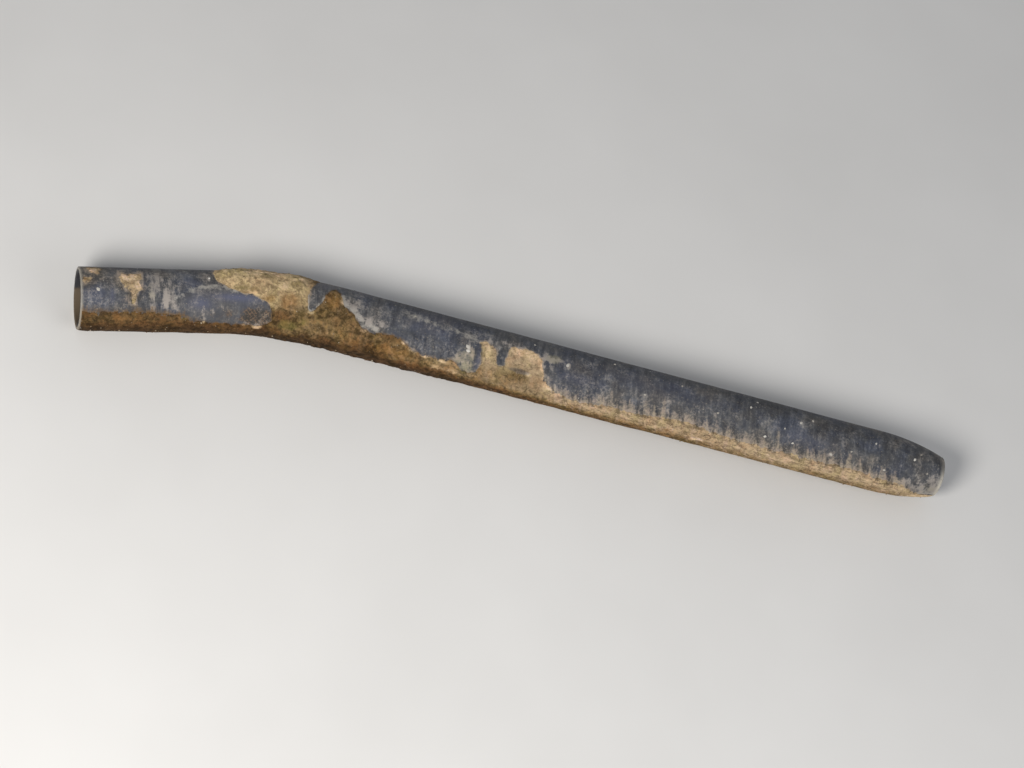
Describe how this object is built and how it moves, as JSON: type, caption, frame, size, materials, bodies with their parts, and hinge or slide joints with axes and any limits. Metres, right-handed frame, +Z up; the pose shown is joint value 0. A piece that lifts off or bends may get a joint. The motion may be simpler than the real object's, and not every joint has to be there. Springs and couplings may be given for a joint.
{
  "type": "clay drain pipe",
  "caption": "Fired clay drain pipe in one piece, with a slow bend near its plain square end and a drawn-in mouth at the other end.",
  "frame": {"origin": "under the middle of the pipe's box, on the floor that it lies on", "axes": "+X along the long barrel towards the drawn-in mouth, +Z up, the short barrel turned back towards -X and -Y"},
  "size_m": [1.8018, 0.2324, 0.124],
  "materials": {
    "fired_clay": "matte slate blue-grey, caked with dried tan mud"
  },
  "bodies": {
    "root": {"pipe": "fired_clay"}
  },
  "joints": []
}
